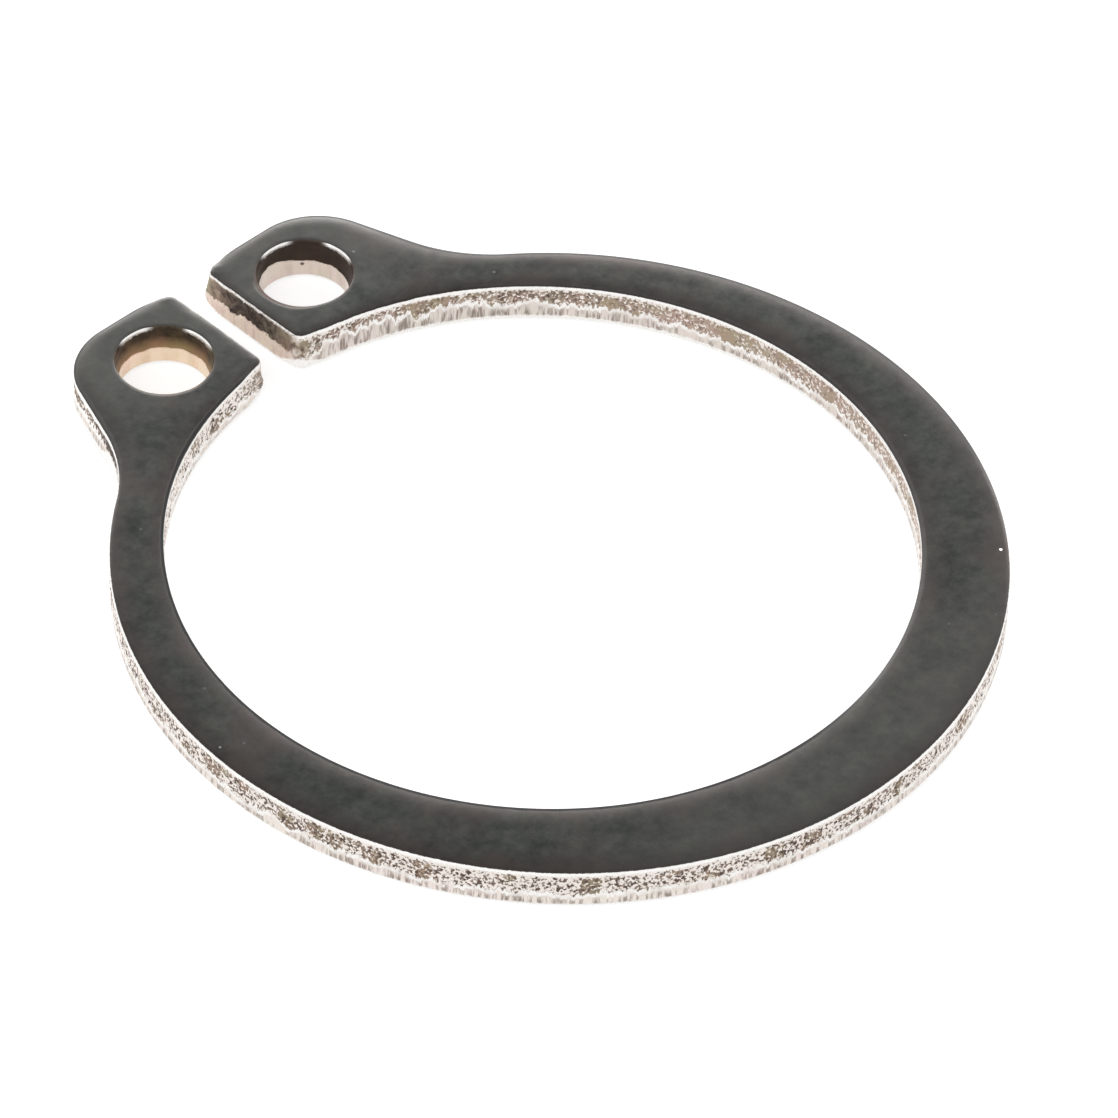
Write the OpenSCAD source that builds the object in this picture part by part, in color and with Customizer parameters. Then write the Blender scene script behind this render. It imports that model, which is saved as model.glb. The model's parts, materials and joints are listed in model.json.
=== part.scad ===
// External retaining ring for a shaft groove, stamped from spring steel strip.
// It lies flat on its burnished side, with the bore on the Z axis and the gap towards +Y.
// All sizes are in millimetres.

/* [Ring] */
// Free inner diameter, before the ring is spread over a shaft
bore_d = 18.5; // [14:0.5:32]
// Thickness of the steel strip
thickness = 1.2; // [0.8:0.05:2]
// Radial width of the band opposite the gap
back_w = 2.35; // [1.8:0.05:4]
// Radial width that the band tapers to as it runs under the lugs
front_w = 1.15; // [0.9:0.05:1.7]

/* [Lugs] */
// Width of the gap between the two lugs
gap_w = 1.05; // [0.5:0.05:2.5]
// Height of the flat lug tops above the bore
lug_h = 3.7; // [3.3:0.05:4.6]
// Width of a lug at its hole, from the gap to the flank
lug_w = 4.4; // [4:0.05:6]
// Lean of the flank, in degrees from the line of the gap
flank_lean = 19.5; // [12:0.5:26]
// Radius of the shoulder between the lug top and the flank
shoulder_r = 1.95; // [0.8:0.05:2.2]
// Radius of the hollow neck where the flank runs into the band
neck_r = 4.4; // [1.5:0.1:7]
// Radius of the lug corner at the top of the gap
tip_r = 0.42; // [0.32:0.01:0.9]
// Radius of the lug corner where the gap meets the bore
toe_r = 0.35; // [0.32:0.01:0.5]

/* [Plier holes] */
// Diameter of the plier holes
hole_d = 2.25; // [1.6:0.05:2.6]
// Height of the hole centres above the bore
hole_rise = 1.8; // [1.6:0.05:2]
// Distance between the centres of the two holes
hole_pitch = 4.8; // [4:0.05:5.4]

/* [Edges] */
// Size of the tumbled upper edge, on the fractured side
rim_w = 0.1; // [0.02:0.01:0.15]
// Width of the rolled lower edge, where the punch drew the strip down
roll_w = 0.26; // [0.05:0.01:0.3]
// Height of the rolled lower edge
roll_h = 0.2; // [0.05:0.01:0.3]

/* [Hidden] */
$fn = 144;
rim_flats = 2;
roll_flats = 3;
// Angle at which a round crosses the wall that it blends into, so that the two cut each other cleanly
cross_deg = 4;
// Angle by which a part round runs on inside the walls at its ends
bury_deg = 20;
// How far a cutter runs past the faces of the strip
past = 0.1;

bore_r = bore_d/2;
// The outer edge of the band is one circle, set back from the bore axis
band_r = (bore_d+back_w+front_w)/2;
band_c = [0, (front_w-back_w)/2];
gap_x = gap_w/2;
top_y = bore_r+lug_h;
hole_y = bore_r+hole_rise;

// Flank of the right lug: a point on it, the way down it, and the way out of it
flank_p = [gap_x+lug_w, hole_y];
flank_down = [sin(flank_lean), -cos(flank_lean)];
flank_out = [cos(flank_lean), sin(flank_lean)];
flank_dist = flank_p*flank_out;

// A hair by which a round of radius r stands past the wall beside it
function hair(r) = r*(1-cos(cross_deg));
function unit(v) = v/norm(v);
// Length along the line from p in direction d to where it enters a circle of radius r about c
function enter_len(p, d, c, r) = let (k = d*(p-c)) -k-sqrt(k*k-(p-c)*(p-c)+r*r);

// Centres of the three outer rounds of the right lug
toe_x = gap_x+toe_r-hair(toe_r);
toe_dist = bore_r+toe_r-hair(toe_r);
toe_c = [toe_x, sqrt(toe_dist*toe_dist-toe_x*toe_x)];
tip_c = [gap_x+tip_r-hair(tip_r), top_y-tip_r+hair(tip_r)];
shoulder_in = shoulder_r-hair(shoulder_r);
shoulder_y = top_y-shoulder_in;
shoulder_c = [(flank_dist-shoulder_in-shoulder_y*flank_out.y)/flank_out.x, shoulder_y];

// Centre of the neck hollow, a set distance outside the flank and outside the band
neck_in = neck_r-hair(neck_r);
neck_line = (flank_dist+neck_in)*flank_out;
neck_c = neck_line+flank_down*enter_len(neck_line, flank_down, band_c, band_r+neck_in);
neck_to_band = unit(band_c-neck_c);
neck_mid = unit(neck_to_band-flank_out);
neck_half = acos(-neck_mid*flank_out);

// Depth of the solid behind each edge, and of the core behind the edges
skirt = 3*max(roll_w, rim_w)+front_w/2;
core_in = skirt/2;
flank_start = shoulder_c+shoulder_in*flank_out;
flank_len = enter_len(flank_start, flank_down, band_c, band_r-core_in);

// Inset and height of the edge profile, from the lower face to the upper one
function turn(n) = [for (i = [0:n]) 90*i/n];
edge = concat(
    [for (a = turn(roll_flats)) [roll_w*(1-sin(a)), roll_h*(1-cos(a))]],
    [for (a = turn(rim_flats)) [rim_w*(1-cos(a)), thickness-rim_w*(1-sin(a))]]);
last = len(edge)-1;
// The end flats of the profile, carried past the faces of the strip
function beyond(p, q) = q+(q-p)*past/abs(q.y-p.y);
flare = concat([beyond(edge[1], edge[0])], edge, [beyond(edge[last-1], edge[last])]);

// Disc, or a sector of one, with the edge profile along its rim
module puck(r, from = 0, sweep = 360) {
    rotate([0, 0, from])
        rotate_extrude(angle = sweep)
            polygon(concat([[0, 0]], [for (p = edge) [r-p.x, p.y]], [[0, thickness]]));
}

// Straight wall with the edge profile, facing +X and running towards +Y
module wall(length) {
    translate([0, length, 0])
        rotate([90, 0, 0])
            linear_extrude(height = length)
                polygon(concat([[-skirt, 0]], [for (p = edge) [-p.x, p.y]], [[-skirt, thickness]]));
}

// Round cutter that leaves the edge profile along its mouths
module cutter(r) {
    rotate_extrude()
        polygon(concat([[0, flare[0].y]], [for (p = flare) [r+p.x, p.y]], [[0, flare[last+2].y]]));
}

// Tapered band, open over the wedge between the two toes
module band() {
    wedge = 2*toe_c;
    difference() {
        translate(band_c) puck(band_r);
        translate([0, 0, -past])
            linear_extrude(height = thickness+2*past)
                polygon([[0, 0], [wedge.x, wedge.y], [-wedge.x, wedge.y]]);
    }
}

// Right lug, with the web that the neck is cut from
module lug() {
    translate(toe_c) puck(toe_r);
    translate(tip_c) puck(tip_r);
    translate(shoulder_c) puck(shoulder_r, flank_lean-bury_deg, 90-flank_lean+2*bury_deg);
    translate([gap_x, tip_c.y, 0]) rotate([0, 0, 180]) wall(tip_c.y-toe_c.y);
    translate([shoulder_c.x, top_y, 0]) rotate([0, 0, 90]) wall(shoulder_c.x-tip_c.x);
    translate(flank_start+flank_len*flank_down) rotate([0, 0, flank_lean]) wall(flank_len);
    linear_extrude(height = thickness) {
        polygon([
            [gap_x+core_in, bore_r-core_in],
            [gap_x+core_in, top_y-core_in],
            [shoulder_c.x, top_y-core_in],
            flank_start-core_in*flank_out,
            flank_start-core_in*flank_out+flank_len*flank_down]);
        polygon([
            neck_c,
            neck_c-(neck_r+skirt)*flank_out,
            neck_c+(neck_r/cos(neck_half)+skirt)*neck_mid,
            neck_c+(neck_r+skirt)*neck_to_band]);
    }
}

module both_sides() {
    children();
    mirror([1, 0, 0]) children();
}

module retaining_ring() {
    color([0.27, 0.28, 0.28])
        difference() {
            union() {
                band();
                both_sides() lug();
            }
            cutter(bore_r);
            both_sides() {
                translate([hole_pitch/2, hole_y]) cutter(hole_d/2);
                translate(neck_c) cutter(neck_r);
            }
        }
}

retaining_ring();
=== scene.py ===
import json
import math
import bpy
import numpy as np
from mathutils import Matrix, Vector


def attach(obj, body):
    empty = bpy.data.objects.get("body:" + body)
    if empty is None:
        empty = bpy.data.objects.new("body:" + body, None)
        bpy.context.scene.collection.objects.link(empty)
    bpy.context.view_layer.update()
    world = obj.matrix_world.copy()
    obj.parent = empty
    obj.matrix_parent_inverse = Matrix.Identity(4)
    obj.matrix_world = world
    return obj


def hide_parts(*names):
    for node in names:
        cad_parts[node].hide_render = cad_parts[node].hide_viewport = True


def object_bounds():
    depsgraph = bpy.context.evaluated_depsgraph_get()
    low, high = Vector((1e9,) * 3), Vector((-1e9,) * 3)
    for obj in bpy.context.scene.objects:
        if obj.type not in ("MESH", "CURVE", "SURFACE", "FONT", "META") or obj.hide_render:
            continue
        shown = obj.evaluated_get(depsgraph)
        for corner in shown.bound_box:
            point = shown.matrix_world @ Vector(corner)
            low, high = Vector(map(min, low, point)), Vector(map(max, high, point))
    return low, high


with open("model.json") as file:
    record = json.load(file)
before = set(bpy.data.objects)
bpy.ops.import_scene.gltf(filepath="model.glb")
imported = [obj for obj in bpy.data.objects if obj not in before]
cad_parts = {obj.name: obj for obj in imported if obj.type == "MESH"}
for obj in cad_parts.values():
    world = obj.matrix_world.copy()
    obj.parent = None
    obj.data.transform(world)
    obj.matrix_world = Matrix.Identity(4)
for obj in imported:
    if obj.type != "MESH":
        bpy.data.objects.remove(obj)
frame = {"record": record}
cad_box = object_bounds()

# The ring's sizes, in millimetres, from the frame
MM = 0.001
mounts = {m["name"]: m for m in frame["record"]["mounts"]}
BORE_R = mounts["shaft_seat"]["dims"]["r_mm"]
HOLE_R = mounts["plier_hole_right"]["dims"]["r_mm"]
HOLE_X = mounts["plier_hole_right"]["pos_m"][0]/MM
HOLE_Y = mounts["plier_hole_right"]["pos_m"][1]/MM
THICK = (cad_box[1].z-cad_box[0].z)/MM
BAND_R = cad_box[1].x/MM
BAND_C = Vector((0, cad_box[0].y/MM+BAND_R))

# The lugs' outline, in millimetres
LUG_TOP = 12.95
GAP_X = 0.525
LUG_W = 4.4
LEAN = math.radians(19.5)
SHOULDER_R = 1.95
NECK_R = 4.4
TIP_R = 0.38
TOE_R = 0.35

# The roll along the lower edge, and what it gains next to the lugs' tips and toes
ROLL_W = 0.26
ROLL_H = 0.20
TIP_ROLL = 0.18
TOE_ROLL = 0.34
CORNER_ROLL_W = 0.07
CORNER_REACH = 0.80
# Share of a taller roll's height that is bright
ROLL_BRIGHT = 0.9
# Height of the upper rim
RIM_H = 0.10
# How far the walls stay behind the solid's outline
HAIR = 0.001

# The soft shoulder that the rim fades into on the face: its width, fall and curve
SHOULDER_W = 0.72
HOLE_SHOULDER_W = 0.12
SHOULDER_LEAST = 0.02
SHOULDER_SLOPE = 0.051
SHOULDER_POWER = 2.6
# How much steeper it is on the lugs' ends, and the heights over which that comes in
LUG_STEEPER = 0.4
LUG_END = (10.2, 12.2)
# How much narrower it is next to a lug's corner, and the distances over which that comes in
CORNER_NARROWER = 0.5
CORNER_NEAR = (1.7, 0.4)
# Share of the metal behind an edge that it may take up, and a spare for a leaning wall's line
SHOULDER_SHARE = 0.86
LINE_SPARE = 0.1
# Points on each side over which its fall is evened out
FALL_REACH = 8

# Points on each side over which a wall's looks are evened out
LOOK_REACH = 4
# Distance past a lug's corner over which a wall's looks turn into the gap's
BLEND_REACH = 0.75

# Spacing of the outline's points, and rows of the edge profile
STEP = 0.065
ROLL_ROWS = 5
WALL_ROWS = 13
RIM_ROWS = 4
SHOULDER_ROWS = 7
# Share of a wall's height, at its top and its foot, over which the relief fades out
SKIN_FADE = 0.12
# Points closer than this become one
WELD = 0.0005

# Camera: the photograph's own view, with the ring's centre a little off the middle
CAMERA_AZIMUTH = -46.0
CAMERA_ELEVATION = 43.54
CAMERA_ROLL = 2.18
CAMERA_DISTANCE = 209.94
CAMERA_RIGHT = 0.391
CAMERA_UP = -0.516
CAMERA_LENS = 276.7

# Directions round a plier hole: the middle of the stretch between the painted highlight arcs on its rim,
# and where the rim is widest
HOLE_NO_HIGHLIGHT_TURN = 43
HOLE_WIDE_TURN = {"hole_left": 235, "hole_right": 190}
HOLE_WIDER = {"hole_left": 0.05, "hole_right": 0.11}

# Bright specks on the upper face: place in plan, size and brightness
FACE_SPECKS = [
    ((7.94, -7.9), 0.055, 255),
    ((3.86, 10.79), 0.05, 96),
    ((5.93, 7.82), 0.06, 76),
    ((-10.70, 0.06), 0.045, 130),
    ((-10.19, -0.23), 0.05, 72),
    ((-9.62, 1.77), 0.06, 68),
    ((-6.99, 6.90), 0.05, 72),
    ((9.18, -3.46), 0.05, 70),
    ((5.10, -8.85), 0.05, 68),
    ((6.19, -9.39), 0.04, 72),
]
# A dark speck on the right hole's wall: place, size and tint
HOLE_SPECK = ((3.13, 11.90, 0.49), 0.07, (104, 94, 90))

# The ring's parts with finishes of their own; a face carries its part's number
PARTS = ("wall", "hole_left", "hole_right", "face")
FACE_PART = float(PARTS.index("face"))

# What a wall looks like where nothing else is said: sizes in millimetres, and shares from 0 to 1
PLAIN_LOOK = {
    # Height of the ragged line between the wiped and the torn part, and of its scallops
    "line": 0.53,
    "scallop": 0.04,
    # Height from which the rim is bright, how bare it is (on the plier holes, painted highlight arcs),
    # and how far round its bevel it is worn
    "rim": 1.06,
    "bare_and_highlight": 1.0,
    "wear_and_shade": 0.92,
    # Torn part: white flakes, tone from dark to light, and how far it has the gap's own finish, whose
    # darker colours are painted shade
    "white": 0.0,
    "tone": 0.1,
    "gap_shaded": 0.0,
    # How far the torn part leans back for each millimetre of height
    "lean": 0.0,
    # Width of the rim's bevel, and height up to which the roll is bright
    "bevel": 0.03,
    "low": 0.15,
    # Grey in the wiped part's streaks
    "grey": 0.0,
}


def smooth(value, low, high):
    """Eases from 0 at low to 1 at high; low may be above high."""
    t = min(1, max(0, (value-low)/(high-low)))
    return t*t*(3-2*t)


def ray(angle):
    return Vector((math.cos(angle), math.sin(angle)))


def heading(v):
    return math.atan2(v.y, v.x)


def turn_apart(turn, other):
    """Degrees between two directions, the short way round."""
    return abs((turn-other+180) % 360-180)


# Outline


def arc(centre, radius, start, stop, hollow=False):
    """Points and outward directions from one angle up to, but not at, another."""
    count = max(3, math.ceil(abs(stop-start)*radius/STEP))
    side = -1 if hollow else 1
    rays = [ray(start+(stop-start)*i/count) for i in range(count)]
    return [(centre+radius*d, side*d) for d in rays]


def straight(start, stop):
    """Points and outward directions along a line, with the metal on its left."""
    count = max(2, math.ceil((stop-start).length/STEP))
    way = (stop-start).normalized()
    out = Vector((way.y, -way.x))
    return [(start.lerp(stop, i/count), out) for i in range(count)]


def neck_centre(flank_out, flank_dist):
    """Centre of the round that lies NECK_R outside both the flank and the band."""
    base = (flank_dist+NECK_R)*flank_out-BAND_C
    down = Vector((flank_out.y, -flank_out.x))
    along = base.dot(down)
    return BAND_C+base+down*(-along-math.sqrt(along**2-base.length_squared+(BAND_R+NECK_R)**2))


def half_outline():
    """The right half, from the band's foot up its outer side, round the lug and down the bore."""
    flank_out = ray(LEAN)
    flank_dist = Vector((GAP_X+LUG_W, HOLE_Y)).dot(flank_out)
    neck = neck_centre(flank_out, flank_dist)
    shoulder_y = LUG_TOP-SHOULDER_R
    shoulder_x = (flank_dist-SHOULDER_R-shoulder_y*flank_out.y)/flank_out.x
    shoulder = Vector((shoulder_x, shoulder_y))
    tip = Vector((GAP_X+TIP_R, LUG_TOP-TIP_R))
    toe_x = GAP_X+TOE_R
    toe = Vector((toe_x, math.sqrt((BORE_R+TOE_R)**2-toe_x**2)))
    to_band = heading(BAND_C-neck)
    quarter = math.pi/2
    outer = arc(BAND_C, BAND_R, -quarter, heading(neck-BAND_C))
    outer += arc(neck, NECK_R, to_band % (2*math.pi), LEAN+math.pi, hollow=True)
    outer += straight(neck-NECK_R*flank_out, shoulder+SHOULDER_R*flank_out)
    outer += arc(shoulder, SHOULDER_R, LEAN, quarter)
    outer += straight(Vector((shoulder.x, LUG_TOP)), Vector((tip.x, LUG_TOP)))
    gap = arc(tip, TIP_R, quarter, math.pi)
    gap += straight(Vector((GAP_X, tip.y)), Vector((GAP_X, toe.y)))
    gap += arc(toe, TOE_R, math.pi, math.pi+heading(toe))
    bore = arc(Vector((0, 0)), BORE_R, heading(toe), -quarter, hollow=True)
    corners = [(tip+TIP_R*ray(0.75*math.pi), TIP_ROLL), (toe+TOE_R*ray(1.25*math.pi), TOE_ROLL)]
    return [("outer", outer), ("gap", gap), ("bore", bore)], corners


def outlines():
    """The ring's outer loop and its two holes, as lists of (zone, point, outward direction)."""
    half, corners = half_outline()
    right = [(zone, p, d) for zone, samples in half for p, d in samples]
    foot = ("bore", Vector((0, -BORE_R)), Vector((0, 1)))
    flip = Vector((-1, 1))
    left = [(zone, p*flip, d*flip) for zone, p, d in reversed(right[1:])]
    loops = [right+[foot]+left]
    for zone, side in (("hole_left", -1), ("hole_right", 1)):
        hole = arc(Vector((side*HOLE_X, HOLE_Y)), HOLE_R, 0, -2*math.pi, hollow=True)
        loops.append([(zone, p, d) for p, d in hole])
    return loops, corners+[(c*flip, more) for c, more in corners]


# Looks along the walls


def gap_look(share):
    """The gap's wall, from its tip at 0 to its toe at 1."""
    tip = 1-smooth(share, 0.0, 0.14)
    toe = smooth(share, 0.91, 1.0)
    below_tip = smooth(share, 0.05, 0.38)
    above_toe = smooth(share, 0.55, 0.9)
    return {
        **PLAIN_LOOK,
        "line": 0.53+0.13*math.sin(math.pi*share)-0.04*toe,
        "scallop": 0.055,
        "rim": 1.12,
        "white": 0.3*toe,
        "tone": 0.9-0.9*below_tip+0.65*above_toe,
        # The gap's darker finish, painted shade, fades mostly out at the toe
        "gap_shaded": 1-0.8*toe,
        "lean": 0.12+0.08*tip,
        "low": 0.17,
        "grey": 0.3,
    }


def hole_look(zone, p):
    """A plier hole's wall: its rim has painted highlight arcs, bare and bright on both sides of a dark
    stretch, and is wider on one side.
    """
    right = zone == "hole_right"
    centre = Vector((HOLE_X if right else -HOLE_X, HOLE_Y))
    turn = math.degrees(heading(p-centre))
    from_no_highlight = turn_apart(turn, HOLE_NO_HIGHLIGHT_TURN)
    # Painted highlight arcs on the rim, on both sides of the dark stretch
    bare_and_highlight = smooth(from_no_highlight, 19, 25)*smooth(from_no_highlight, 68, 60)
    wide = smooth(turn_apart(turn, HOLE_WIDE_TURN[zone]), 62, 20)
    hump = smooth(turn, 55, 100)*smooth(turn, 180, 140)
    return {
        **PLAIN_LOOK,
        "line": 0.62+0.15*hump if right else 0.58,
        "scallop": 0.02,
        "rim": 1.12,
        "bare_and_highlight": bare_and_highlight,
        "wear_and_shade": 1.05,
        "lean": 0.16,
        "bevel": 0.03+0.015*bare_and_highlight+HOLE_WIDER[zone]*wide,
        "low": 0.12,
    }


def outer_look(p):
    """The outer wall: its torn part is a thin dark line on the lugs' flanks, below a wide bare rim."""
    # Edges on the far side, turned away from the view, keep more coat on the rim's bevel: painted shade
    coated = smooth(p.x+p.y, 1, 6)
    flank = smooth(p.y, 8.0, 9.2)
    dark = smooth(p.y, 8.6, 9.2)*smooth(p.y, 11.3, 10.5)
    black = smooth(p.y, 8.8, 9.2)*smooth(p.y, 10.3, 9.9)
    return {
        **PLAIN_LOOK,
        "line": 0.53+0.22*flank,
        "rim": 1.06-0.10*flank,
        "wear_and_shade": 0.92-0.13*coated,
        "white": 0.50-0.10*flank-0.26*dark,
        "tone": 0.35-0.40*dark,
        # The dark band on the lugs' flanks takes the gap's darker finish, with its painted shade
        "gap_shaded": 0.9*black,
        "low": 0.15+0.18*flank+0.38*black,
        "grey": 0.4*flank,
    }


def bore_look(p):
    """The bore's wall: the wiped part climbs in high scallops towards the right lug's toe."""
    turn = math.degrees(heading(p))
    right = smooth(p.x, -3, 3)
    to_toe = smooth(turn, 51, 63)*right
    climbing = 0.08+0.11*smooth(turn, 10, 45)
    pale = smooth(turn, 0, -30)*smooth(turn, -60, -40)
    left_lug = smooth(p.y, 5.0, 8.0)*(1-right)
    plain = right*smooth(turn, 42, 25)
    return {
        **PLAIN_LOOK,
        "line": 0.50+right*climbing+0.17*to_toe,
        "scallop": 0.06+0.14*to_toe,
        # The left side's edges, turned away from the view, keep more coat on the rim's bevel: painted
        # shade
        "wear_and_shade": 0.62+0.2*right+0.1*to_toe,
        "white": 0.46-0.20*right+0.1*pale+0.12*left_lug-0.03*plain,
        "tone": 0.45+0.20*right+0.2*pale+0.32*plain-0.15*left_lug,
        "lean": 0.01+0.04*to_toe,
        "bevel": 0.02,
        "low": 0.21,
        "grey": 0.3+0.35*right,
    }


def wall_look(zone, p):
    """What a wall looks like at a point in plan; next to the gap it runs into the gap's looks."""
    if zone.startswith("hole"):
        return hole_look(zone, p)
    if zone == "gap":
        return gap_look(min(1, max(0, (LUG_TOP-p.y)/(LUG_TOP-BORE_R))))
    look = outer_look(p) if zone == "outer" else bore_look(p)
    if p.y < BORE_R-1:
        return look
    near = smooth(abs(p.x), GAP_X+TIP_R+BLEND_REACH, GAP_X+TOE_R)
    gap = gap_look(0 if zone == "outer" else 1)
    return {name: value+(gap[name]-value)*near for name, value in look.items()}


def evened(values, reach):
    """The values of a closed loop, each the mean of its near neighbours'."""
    near = range(-reach, reach+1)
    return [sum(values[(i+k) % len(values)] for k in near)/len(near) for i in range(len(values))]


def looks_along(loop):
    """The looks of one loop's points, evened out along it."""
    looks = [wall_look(zone, p) for zone, p, _ in loop]
    reach = 1 if loop[0][0].startswith("hole") else LOOK_REACH
    columns = {name: evened([look[name] for look in looks], reach) for name in PLAIN_LOOK}
    return [{name: column[i] for name, column in columns.items()} for i in range(len(loop))]


# Sizes of the edge at each point of the outline


def rooms(samples):
    """Radius of the largest disc in the metal that touches the edge at each point."""
    points = np.array([tuple(p) for _, p, _ in samples])
    inward = -np.array([tuple(d) for _, _, d in samples])
    found = []
    for here, way in zip(points, inward):
        apart = points-here
        ahead = apart @ way
        facing = ahead > 1e-4
        found.append(float(np.min((apart[facing]**2).sum(1)/(2*ahead[facing]))))
    return found


def taller_rolls(samples, corners):
    """How much taller the roll is at each point, next to the lugs' tips and toes."""
    taller = []
    for _, p, _ in samples:
        taller.append(max(more*smooth((p-c).length, CORNER_REACH, 0) for c, more in corners))
    return taller


def soft_widths(samples, corners, looks, room):
    """Width of the soft shoulder at each point, as far as the metal has room for it."""
    widths = []
    for (zone, p, _), look, most in zip(samples, looks, room):
        corner = min((p-c).length for c, _ in corners)
        widest = SHOULDER_W*(1-CORNER_NARROWER*smooth(corner, *CORNER_NEAR))
        if zone.startswith("hole"):
            widest = HOLE_SHOULDER_W
        behind = look["bevel"]+look["lean"]*(THICK-look["line"]+LINE_SPARE)+HAIR
        widths.append(max(SHOULDER_LEAST, min(widest, most-behind)))
    return widths


def shoulder_falls(samples, soft, outer_count):
    """How far the soft shoulder falls at each point, evened out along the outer loop."""
    steep = [1+LUG_STEEPER*smooth(p.y, *LUG_END) for _, p, _ in samples]
    fall = [w*SHOULDER_SLOPE*k for w, k in zip(soft, steep)]
    return evened(fall[:outer_count], FALL_REACH)+fall[outer_count:]


# Meshes that the sweep starts from


def set_numbers(mesh, name, values):
    """Stores one number for each point of a mesh."""
    mesh.attributes.new(name, "FLOAT", "POINT").data.foreach_set("value", values)


def set_vectors(mesh, name, values):
    """Stores one vector for each point of a mesh."""
    flat = [number for vector in values for number in vector]
    mesh.attributes.new(name, "FLOAT_VECTOR", "POINT").data.foreach_set("vector", flat)


def loop_edges(loops):
    """The edges that close each loop, counted through the points of all loops."""
    edges = []
    for loop in loops:
        start, count = len(edges), len(loop)
        edges += [(start+i, start+(i+1) % count) for i in range(count)]
    return edges


def store_edge_sizes(mesh, loops, corners, looks):
    """Stores the sizes of roll, wall and shoulder at each point."""
    samples = [sample for loop in loops for sample in loop]
    room = [SHOULDER_SHARE*r for r in rooms(samples)]
    taller = taller_rolls(samples, corners)
    soft = soft_widths(samples, corners, looks, room)
    fall = shoulder_falls(samples, soft, len(loops[0]))
    roll_w = [min(ROLL_W+CORNER_ROLL_W*more/TOE_ROLL, r-HAIR) for more, r in zip(taller, room)]
    roll_h = [ROLL_H+more for more in taller]
    for look, more in zip(looks, taller):
        look["low"] += ROLL_BRIGHT*more
    bevel = [look["bevel"] for look in looks]
    set_vectors(mesh, "spread", list(zip(roll_w, bevel, soft)))
    set_vectors(mesh, "tall", [(h, THICK-h-RIM_H-d, d) for h, d in zip(roll_h, fall)])


def outline_mesh():
    """The outline's loops as edges, with what the sweep needs to know at each point."""
    loops, corners = outlines()
    samples = [sample for loop in loops for sample in loop]
    feet = [(p.x*MM, p.y*MM, 0) for _, p, _ in samples]
    mesh = bpy.data.meshes.new("ring_outline")
    mesh.from_pydata(feet, loop_edges(loops), [])
    set_vectors(mesh, "foot", feet)
    set_vectors(mesh, "out", [(d.x, d.y, 0) for _, _, d in samples])
    looks = [look for loop in loops for look in looks_along(loop)]
    store_edge_sizes(mesh, loops, corners, looks)
    for name in PLAIN_LOOK:
        set_numbers(mesh, name, [look[name] for look in looks])
    parts = [zone if zone in PARTS else "wall" for zone, _, _ in samples]
    set_numbers(mesh, "finish", [float(PARTS.index(part)) for part in parts])
    return mesh


def profile_rows():
    """Rows from the lower face to the upper one: shares of spread and of tall, lip, skin and edge."""
    rows = []
    for i in range(ROLL_ROWS):
        a = math.pi/2*i/ROLL_ROWS
        rows.append(((1-math.sin(a), 0, 0), (1-math.cos(a), 0, 0), 0, 0, 0))
    for i in range(WALL_ROWS):
        t = i/WALL_ROWS
        rows.append(((0, 0, 0), (1, t, 0), 0, smooth(min(t, 1-t), 0, SKIN_FADE), 0))
    for i in range(RIM_ROWS):
        a = math.pi/2*i/RIM_ROWS
        rows.append(((0, 1-math.cos(a), 0), (1, 1, 0), math.sin(a), 0, 1))
    for i in range(SHOULDER_ROWS+1):
        t = i/SHOULDER_ROWS
        rows.append(((0, 1, t), (1, 1, 1-(1-t)**SHOULDER_POWER), 1, 0, 1-t))
    return rows


def profile_mesh():
    """The edge profile as a chain of edges, with its shares at each point."""
    rows = profile_rows()
    mesh = bpy.data.meshes.new("edge_profile")
    points = [(-MM*sum(reach), MM*(sum(rise)+lip), 0) for reach, rise, lip, _, _ in rows]
    mesh.from_pydata(points, [(i, i+1) for i in range(len(rows)-1)], [])
    set_vectors(mesh, "reach", [row[0] for row in rows])
    set_vectors(mesh, "rise", [row[1] for row in rows])
    for index, name in ((2, "lip"), (3, "skin"), (4, "edge")):
        set_numbers(mesh, name, [float(row[index]) for row in rows])
    set_numbers(mesh, "row", [float(i) for i in range(len(rows))])
    return mesh


# Node helpers for geometry and shader trees


def add(tree, kind, inputs=None, **options):
    """Adds a node with its options, and feeds its inputs with values or sockets."""
    made = tree.nodes.new(kind)
    for key, value in options.items():
        setattr(made, key, value)
    for key, value in (inputs or {}).items():
        if isinstance(value, bpy.types.NodeSocket):
            tree.links.new(value, made.inputs[key])
        else:
            made.inputs[key].default_value = value
    return made


def calc(tree, operation, *values, clamp=False):
    """A Math node's result."""
    inputs = dict(enumerate(values))
    return add(tree, "ShaderNodeMath", inputs, operation=operation, use_clamp=clamp).outputs[0]


def plus(tree, first, second, clamp=False):
    return calc(tree, "ADD", first, second, clamp=clamp)


def minus(tree, first, second):
    return calc(tree, "SUBTRACT", first, second)


def times(tree, first, second):
    return calc(tree, "MULTIPLY", first, second)


def rest(tree, share):
    """What a share leaves of 1."""
    return minus(tree, 1.0, share)


def ease(tree, value, low, high, kind="SMOOTHSTEP"):
    """0 below low, 1 above high, and a smooth way between; low may be above high."""
    ends = (low, high, 0.0, 1.0) if low < high else (high, low, 1.0, 0.0)
    inputs = dict(enumerate((value, *ends)))
    return add(tree, "ShaderNodeMapRange", inputs, interpolation_type=kind, clamp=True).outputs[0]


def vector_math(tree, operation, first, second):
    return add(tree, "ShaderNodeVectorMath", {0: first, 1: second}, operation=operation).outputs


def scaled(tree, vector, factors):
    """A vector with each of its parts multiplied."""
    return vector_math(tree, "MULTIPLY", vector, factors)[0]


def part_of(tree, vector, axis):
    """One of a vector's three numbers."""
    return add(tree, "ShaderNodeSeparateXYZ", {0: vector}).outputs["XYZ".index(axis)]


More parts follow.
